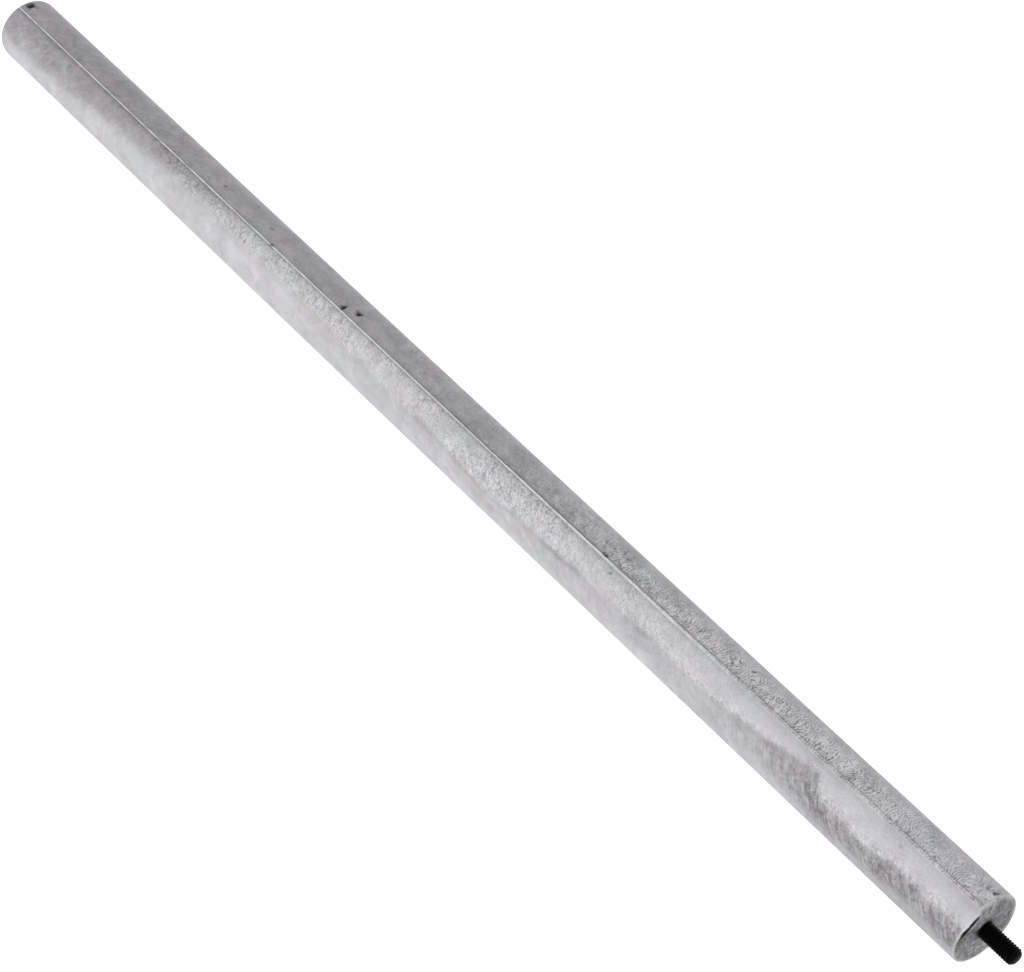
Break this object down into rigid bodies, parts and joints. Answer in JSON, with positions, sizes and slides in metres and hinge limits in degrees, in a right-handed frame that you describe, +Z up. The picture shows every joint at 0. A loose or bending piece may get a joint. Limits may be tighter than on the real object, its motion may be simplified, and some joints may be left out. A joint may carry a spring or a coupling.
{
  "type": "water heater anode rod",
  "caption": "Sacrificial magnesium anode rod for a water heater: a long round cast bar with a parting line along it and a black threaded steel stud standing out of one end.",
  "frame": {"origin": "middle of the end face that the threaded stud leaves", "axes": "+X out along the stud, the bar runs along -X; the bar lies on its side with +Z up, and its slight bow is towards -Y"},
  "size_m": [0.5635, 0.0268, 0.026],
  "materials": {
    "cast_magnesium": "dull as-cast magnesium, pale and mottled, with fine cold wrinkles and a parting line",
    "black_steel": "black oxide on a rolled steel thread, faintly oily"
  },
  "bodies": {
    "root": {"anode_rod": "cast_magnesium", "threaded_stud": "black_steel"}
  },
  "joints": []
}
